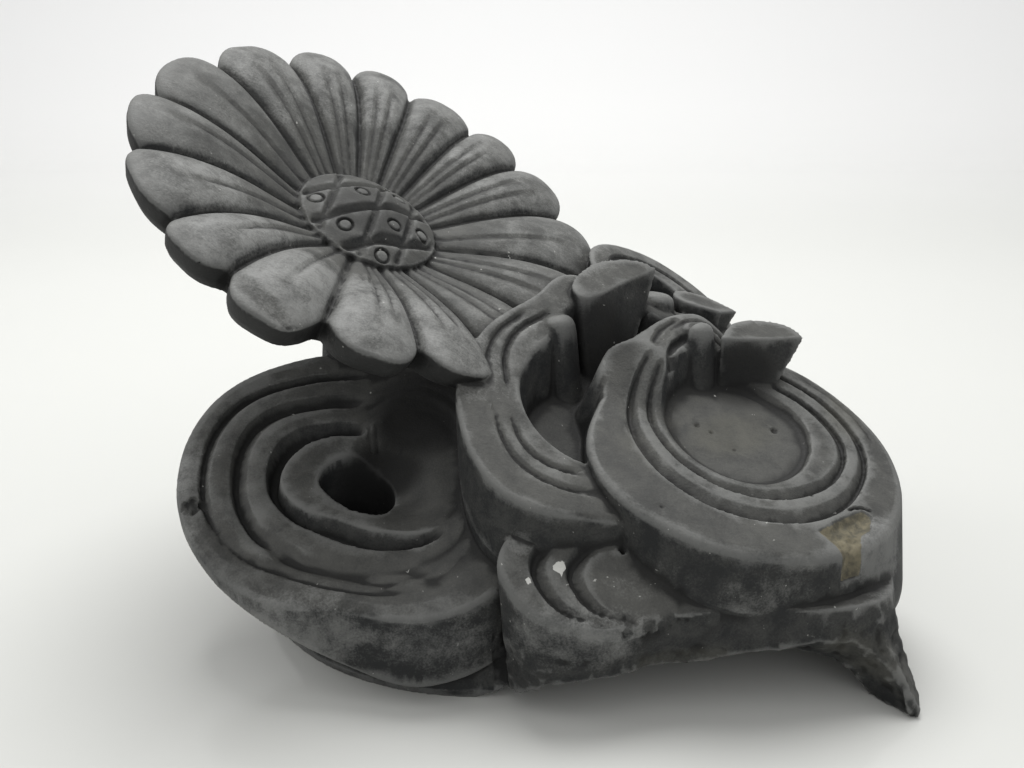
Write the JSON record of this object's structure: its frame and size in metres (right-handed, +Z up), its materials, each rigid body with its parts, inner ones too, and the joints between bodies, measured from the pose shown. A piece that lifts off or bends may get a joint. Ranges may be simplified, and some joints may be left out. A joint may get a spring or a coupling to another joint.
{
  "type": "roof end tile",
  "caption": "Hollow fired clay roof ornament: a tilted chrysanthemum over rolling wave scrolls, standing on a round foot ring and corner feet.",
  "frame": {"origin": "middle of the bounding box in plan, on the floor plane that the foot ring and feet stand on", "axes": "+X to the right along the long side as the picture shows it, +Y away from the viewer, +Z up"},
  "size_m": [0.3438, 0.275, 0.2511],
  "materials": {
    "smoked_clay": "matt smoked grey clay with a faint silvery sheen"
  },
  "bodies": {
    "root": {"wave_and_chrysanthemum_tile": "smoked_clay"}
  },
  "joints": []
}
